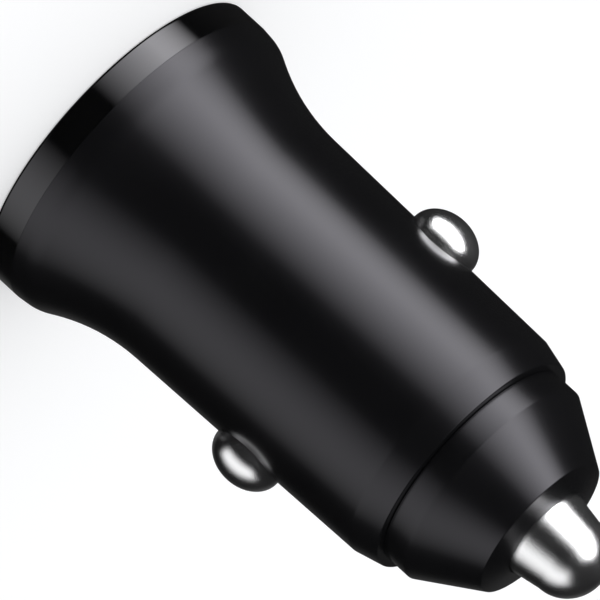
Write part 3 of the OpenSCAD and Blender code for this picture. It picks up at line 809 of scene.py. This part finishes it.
# %% Nose
COLLAR_R, COLLAR_Z = 8.76, 37.7
NOSE_END_R, NOSE_Z, CROWN = 5.9, 42.45, 0.5
PIN_R = 3.5
PIN_BORE = PIN_R + 0.06
# The guide tube, inner and outer radius and lower end, and the stop that holds the pin's flange
GUIDE_R, GUIDE_LOW, STOP_Z = (4.56, 5.36), 33.45, 40.85
SPIGOT_R, SPIGOT_LOW = (6.85, 8.05), 31.25
# Where the inside of the cone meets the tube, and where it starts
CONE_IN, CONE_IN_LOW = (5.66, 39.25), 36.9

nose_outline = outline([
    (SPIGOT_R[0], SPIGOT_LOW, 0.1), (SPIGOT_R[1], SPIGOT_LOW, 0.2), (SPIGOT_R[1], LIP_Z, 0.05),
    (COLLAR_R, LIP_Z, 0.08), (COLLAR_R, COLLAR_Z, 0.1), (NOSE_END_R, NOSE_Z, 0.12),
    (PIN_BORE, NOSE_Z + CROWN, 0.1), (PIN_BORE, STOP_Z, 0.05), (GUIDE_R[0], STOP_Z, 0.05),
    (GUIDE_R[0], GUIDE_LOW, 0.05), (GUIDE_R[1], GUIDE_LOW, 0.05), (GUIDE_R[1], CONE_IN[1], 0.1),
    (*CONE_IN, 0.05), (SPIGOT_R[0], CONE_IN_LOW, 0.3)])
make_piece("nose", carry(nose_outline, circle(ROUND)), BLACKS["satin_black"], "body",
           ["nose_cap"])

# %% [markdown]
# ## The three chrome contacts
#
# The centre contact is turned from bar and the side contacts are pressed from sheet, so the first
# has a flange, a blind hole for its spring and a full round end, and the others are thin cups.
# Each is an open outline that starts and ends on its own axis. The side contacts are made standing
# up and then laid on the X axis.

# %% Centre contact
def round_end(radius, start, length, steps=28):
    """A quarter of an ellipse from (radius, start) to the axis, length further on."""
    turn = np.linspace(0, np.pi / 2, steps + 1)
    return np.stack([radius * np.cos(turn), start + length * np.sin(turn)], 1)


TIP_R, TIP_START, TIP_ROUND = 3.15, 45.28, 3.02
STRAIGHT_TO = 43.25
SPRING_HOLE_R, HOLE_FLOOR = 2.5, 43.75
PIN_FLANGE_R, PIN_FLANGE_LOW, PIN_FLANGE_TOP = 4.5, 39.75, 40.75

shank = outline([
    (0, HOLE_FLOOR, 0), (SPRING_HOLE_R, HOLE_FLOOR, 0.2), (SPRING_HOLE_R, PIN_FLANGE_LOW, 0.15),
    (PIN_FLANGE_R, PIN_FLANGE_LOW, 0.12), (PIN_FLANGE_R, PIN_FLANGE_TOP, 0.12),
    (PIN_R, PIN_FLANGE_TOP, 0.08), (PIN_R, STRAIGHT_TO, 2.0), (TIP_R, TIP_START, 0)],
    closed=False)
pin_outline = np.concatenate([shank[:-1], round_end(TIP_R, TIP_START, TIP_ROUND)])
pin_outline[-1, 0] = 0
make_piece("tip_contact", carry(pin_outline, circle(160), closed=False),
           METALS["contact_chrome"], "centre_contact", ["centre_contact"])

# %% Side contacts
CUP_R, CUP_IN = 2.8, 2.4
DOME_X, DOME_H = 10.2, 2.2
FLANGE_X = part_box("ground_contact_right")[0].x / MM
SHEET = 0.4


def lay_on_x(surface, side, height=CONTACT_Z):
    """Turns a standing surface onto the X axis, towards side, and lifts it to a height."""
    vertices, normals, faces = surface
    turned = [np.stack([side * a[:, 2], a[:, 1], -side * a[:, 0]], 1) for a in (vertices, normals)]
    return turned[0] + [0, 0, height], turned[1], faces


cup_sides = outline([
    (CUP_IN, DOME_X, 0), (CUP_IN, FLANGE_X, 0.12), (CUP_R + SHEET, FLANGE_X, 0.12),
    (CUP_R + SHEET, FLANGE_X + SHEET, 0.1), (CUP_R, FLANGE_X + SHEET, 0.1), (CUP_R, DOME_X, 0)],
    closed=False)
cup_outline = np.concatenate([
    round_end(CUP_IN, DOME_X, DOME_H - SHEET)[::-1], cup_sides[1:-1],
    round_end(CUP_R, DOME_X, DOME_H)])
cup_outline[[0, -1], 0] = 0
for name, side in (("left", -1), ("right", 1)):
    make_piece(f"dome_{name}", lay_on_x(carry(cup_outline, circle(128), closed=False), side),
               METALS["contact_chrome"], f"ground_contact_{name}",
               [f"ground_contact_{name}"])

# %% [markdown]
# ## The springs
#
# A compression spring is a round wire along a helix whose pitch closes up at both ends, so that
# the end turns lie flat. The centre line is one function of the turn, and a circle is carried along
# it. On the real plug a pushed contact flattens its spring towards its fixed end; here each spring
# is built at its rest length.

# %% A tube along a helix
# Pitch of the two end turns, in wires: they all but touch the next ones
END_PITCH = 1.06


def helix_rise(turn, turns, wire, length):
    """Height of the wire's middle: closed pitch for the first and last turn, even between them."""
    closed = END_PITCH * wire
    pitch = (length - wire - 2 * closed) / (turns - 2)
    return (wire / 2 + closed * np.minimum(turn, 1)
            + pitch * np.clip(turn - 1, 0, turns - 2) + closed * np.clip(turn - turns + 1, 0, None))


def coil(radius, wire, length, turns, per_turn=36, sides=12):
    """Vertices, normals and faces of a tube along the helix, with a flat face on each end, and the
    place along and round the wire for its UV map."""
    turn = np.linspace(0, turns, per_turn * turns + 1)[:, None]
    angle, around = 2 * np.pi * turn, np.linspace(0, 2 * np.pi, sides + 1)[None, :-1]
    out = radius - wire / 2 + wire / 2 * np.cos(around)
    height = helix_rise(turn, turns, wire, length) + wire / 2 * np.sin(around)
    vertices = np.stack([out * np.cos(angle), out * np.sin(angle), height], -1).reshape(-1, 3)
    normals = np.stack([np.cos(around) * np.cos(angle), np.cos(around) * np.sin(angle),
                        np.sin(around) + 0 * angle], -1).reshape(-1, 3)
    rows = len(turn)
    i, j = np.meshgrid(np.arange(rows - 1), np.arange(sides), indexing="ij")
    on = (j + 1) % sides
    quads = np.stack([i * sides + j, (i + 1) * sides + j, (i + 1) * sides + on, i * sides + on], -1)
    faces = quads.reshape(-1, 4).tolist() + [list(range(sides)),
                                             list(range(rows * sides))[:-sides - 1:-1]]
    along = np.broadcast_to(turn * 2 * np.pi * radius, (rows, sides)).ravel()
    round_wire = np.broadcast_to(around / (2 * np.pi), (rows, sides)).ravel()
    return (vertices, normals, faces), np.stack([along, round_wire], 1)


# %% The three springs
def make_spring(name, surface, wire_map, node):
    """A spring whose drawn lines follow its wire."""
    spring = make_piece(name, surface, METALS["spring_steel"], "body", [node])
    corner_vertex = np.zeros(len(spring.data.loops), int)
    spring.data.loops.foreach_get("vertex_index", corner_vertex)
    layer = spring.data.uv_layers.new(name="UVMap")
    layer.data.foreach_set("uv", wire_map[corner_vertex].ravel())
    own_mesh(spring)


# Outer radius, wire, length at rest and turns
TIP_SPRING = (2.35, 0.45, 12.25, 9)
TIP_SPRING_Z, TIP_TRAVEL = 31.45, 2.3
SIDE_SPRING_R, SIDE_WIRE, SIDE_TURNS, SIDE_TRAVEL = 2.1, 0.35, 6, 1.9
side_low, side_high = (corner.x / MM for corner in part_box("ground_spring_right"))

(vertices, normals, faces), wire_map = coil(*TIP_SPRING)
make_spring("tip_coil", (vertices + [0, 0, TIP_SPRING_Z], normals, faces), wire_map, "tip_spring")
side_length = side_high - side_low
standing, wire_map = coil(SIDE_SPRING_R, SIDE_WIRE, side_length, SIDE_TURNS)
standing = (standing[0] + [0, 0, side_low], *standing[1:])
for name, side in (("left", -1), ("right", 1)):
    make_spring(f"side_coil_{name}", lay_on_x(standing, side), wire_map, f"ground_spring_{name}")

# %% [markdown]
# ## The USB ports
#
# Two metal shells lie on the two faces of the circuit board, turned so that the insides are mirror
# images. Each is a folded sheet: one wall's profile with rounded lips, carried along a rounded
# rectangle. The plate round them is a flat curve with two openings, because Blender fills and
# bevels such an outline cleanly.

# %% Port shells
def rounded_rectangle(width, height, rounding, steps=6):
    """A rounded rectangle's corner centres, each repeated along its arc, and the normals there."""
    quarter = np.linspace(0, np.pi / 2, steps + 1)
    angle = (quarter + np.arange(4)[:, None] * np.pi / 2).ravel()
    sides = np.array([[1, 1], [-1, 1], [-1, -1], [1, -1]]).repeat(steps + 1, 0)
    normals = np.stack([np.cos(angle), np.sin(angle)], 1)
    centres = sides * [width / 2 - rounding, height / 2 - rounding]
    return centres + normals * rounding, normals


PORT_W, PORT_H, PORT_ROUND, SHELL_T = 13.1, 5.7, 0.7, 0.3
PORT_Z, PORT_END, PORT_Y = 0.8, 14.8, 3.5
LIP_ROUND = 0.14
wall_outline = outline([(offset, end, LIP_ROUND) for offset, end in (
    (0, PORT_Z), (0, PORT_END), (-SHELL_T, PORT_END), (-SHELL_T, PORT_Z))], steps=4)
shell_path = rounded_rectangle(PORT_W, PORT_H, PORT_ROUND)
for name, side in (("upper", 1), ("lower", -1)):
    vertices, normals, faces = carry(wall_outline, shell_path)
    make_piece(f"port_shell_{name}", (vertices + [0, side * PORT_Y, 0], normals, faces),
               METALS["port_steel"], "body", [f"usb_shell_{name}"])

# %% Port plate
PLATE_R, PLATE_TOP, PLATE_EDGE = 9.633, 2.35, 0.12
# By how much an opening is wider and higher than the shell that stands in it
SHELL_PLAY = 0.1


def spline(curve, points):
    """Adds a closed straight-sided outline to a curve, in metres."""
    line = curve.splines.new("POLY")
    line.points.add(len(points) - 1)
    flat = np.zeros((len(points), 4))
    flat[:, :2] = points * MM
    line.points.foreach_set("co", flat.ravel())
    line.use_cyclic_u = True


curve = bpy.data.curves.new("plate_outline", "CURVE")
curve.dimensions, curve.fill_mode = "2D", "BOTH"
spline(curve, circle(128)[1] * (PLATE_R - PLATE_EDGE))
wider = SHELL_PLAY + 2 * PLATE_EDGE
opening, _ = rounded_rectangle(PORT_W + wider, PORT_H + wider, PORT_ROUND + PLATE_EDGE)
for side in (-1, 1):
    spline(curve, opening + [0, side * PORT_Y])
curve.extrude = ((PLATE_TOP - PLATE_Z) / 2 - PLATE_EDGE) * MM
curve.bevel_depth, curve.bevel_resolution = PLATE_EDGE * MM, 3
draft = bpy.data.objects.new("draft", curve)
scene.collection.objects.link(draft)
bpy.context.view_layer.update()
plate_mesh = bpy.data.meshes.new_from_object(draft)
bpy.data.objects.remove(draft)
corners = np.zeros(len(plate_mesh.vertices) * 3)
plate_mesh.vertices.foreach_get("co", corners)
plate_points = corners.reshape(-1, 3) / MM + [0, 0, (PLATE_TOP + PLATE_Z) / 2]
plate_faces = [list(face.vertices) for face in plate_mesh.polygons]
make_piece("plate", (plate_points, None, plate_faces), BLACKS["plate_black"], "body",
           ["port_plate"])

# %% [markdown]
# ## Materials of the pieces inside
#
# The tongues and strips in the ports and the pieces behind them stay as the CAD model has them.
# Each gets the finish of its real kind: the board green solder mask, the inductor grey ferrite,
# the controller and the diode black epoxy, and the small chips ceramic.

# %% Finishes of the board and its components, and every node's finish
OTHERS = {
    "board_green": finish(
        "board_green", GRAIN, (0.004, 0.06, 0.025), (0.008, 0.11, 0.045),
        {"Roughness": 0.3, "Spread": 0.15, "Depth": 0.1, "Drift Scale": 700.0},
        Coat_Weight=0.3, Coat_Roughness=0.1),
    "ferrite_grey": finish(
        "ferrite_grey", GRAIN, (0.03, 0.03, 0.03), (0.1, 0.1, 0.1),
        {"Roughness": 0.6, "Spread": 0.2, "Depth": 0.5, "Grain Scale": 5000.0,
         "Drift Scale": 3000.0}),
    "component_black": finish(
        "component_black", GRAIN, (0.02, 0.02, 0.021), (0.045, 0.045, 0.047),
        {"Roughness": 0.5, "Spread": 0.15, "Depth": 0.3, "Drift Scale": 2500.0}),
    "chip_ceramic": finish(
        "chip_ceramic", GRAIN, (0.3, 0.2, 0.11), (0.5, 0.4, 0.28),
        {"Roughness": 0.4, "Spread": 0.2, "Depth": 0.2, "Drift Scale": 2000.0}),
}
FINISHES = {**BLACKS, **METALS, **OTHERS}
slots = {row["node"]: row["material_slot"] for row in frame["record"]["subparts"]}
for name, node in frame["nodes"].items():
    node.data.materials.clear()
    node.data.materials.append(FINISHES[slots[name]])
print("nodes dressed:", len(slots))

# %% [markdown]
# ## Light for the port face
#
# The head stands on the floor, so nothing would light its ports when the plug is looked at from
# below. A soft lamp under the floor does, like a card of light under a glass table. It is linked to
# the port plate and the ports alone, so the ring's edge stays dark, and the floor doesn't block it.

# %% Lamp under the head
# Height and width in metres, power in watts
UNDER_Z, UNDER_SIZE, UNDER_POWER = -0.35, 0.5, 2.5

lamp = bpy.data.objects.new("under_lamp", bpy.data.lights.new("under_lamp", "AREA"))
scene.collection.objects.link(lamp)
lamp.data.shape, lamp.data.size, lamp.data.energy = "DISK", UNDER_SIZE, UNDER_POWER
lamp.location, lamp.rotation_euler = (0, 0, UNDER_Z), (np.pi, 0, 0)
lit, not_blocking = bpy.data.collections.new("port_face"), bpy.data.collections.new("see_through")
for piece in scene.objects:
    if piece.type == "MESH" and piece.name.startswith(("plate", "port_", "usb_")):
        lit.objects.link(piece)
not_blocking.objects.link(floor)
lamp.light_linking.receiver_collection = lit
lamp.light_linking.blocker_collection = not_blocking
not_blocking.collection_objects[0].light_linking.link_state = "EXCLUDE"
